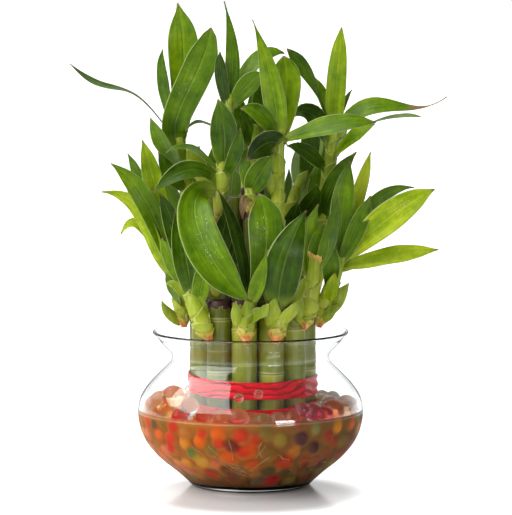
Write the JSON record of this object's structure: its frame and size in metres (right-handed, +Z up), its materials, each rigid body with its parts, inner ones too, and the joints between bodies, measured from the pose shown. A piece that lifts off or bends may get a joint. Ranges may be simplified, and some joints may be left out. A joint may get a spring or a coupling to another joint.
{
  "type": "lucky bamboo",
  "caption": "Tied bundle of green jointed canes with leafy shoots, standing in a round-bellied clear glass bowl of water and coloured gel beads.",
  "frame": {"origin": "centre of the bowl's flat base, on the surface that it stands on", "axes": "+Z up, the front of the plant looks along -Y, +X to the right as seen from the front"},
  "size_m": [0.189, 0.1346, 0.2431],
  "materials": {
    "glass": "clear polished glass",
    "gel_beads": "wet translucent gel beads in orange, red, olive, purple and clear, in water",
    "ribbon": "red satin with soft sheen",
    "cane": "waxy green to yellow-green cane with pale node rings and brown cut tops",
    "leaf": "glossy green leaves with fine parallel veins, and pale sheaths on the stems"
  },
  "bodies": {
    "root": {"glass_bowl": "glass", "gel_beads_in_water": "gel_beads", "ribbon_upper": "ribbon", "ribbon_lower": "ribbon", "cane_outer_01": "cane", "shoot_outer_01": "leaf", "cane_outer_02": "cane", "shoot_outer_02": "leaf", "cane_outer_03": "cane", "shoot_outer_03": "leaf", "cane_outer_04": "cane", "shoot_outer_04": "leaf", "cane_outer_05": "cane", "shoot_outer_05": "leaf", "cane_outer_06": "cane", "shoot_outer_06": "leaf", "cane_outer_07": "cane", "shoot_outer_07": "leaf", "cane_outer_08": "cane", "shoot_outer_08": "leaf", "cane_outer_09": "cane", "shoot_outer_09": "leaf", "cane_outer_10": "cane", "shoot_outer_10": "leaf", "cane_outer_11": "cane", "shoot_outer_11": "leaf", "cane_outer_12": "cane", "shoot_outer_12": "leaf", "cane_inner_1": "cane", "shoot_inner_1": "leaf", "cane_inner_2": "cane", "shoot_inner_2": "leaf", "cane_inner_3": "cane", "shoot_inner_3": "leaf", "cane_inner_4": "cane", "shoot_inner_4": "leaf", "cane_inner_5": "cane", "shoot_inner_5": "leaf", "cane_inner_6": "cane", "shoot_inner_6": "leaf", "cane_centre": "cane", "shoot_centre": "leaf"}
  },
  "joints": []
}
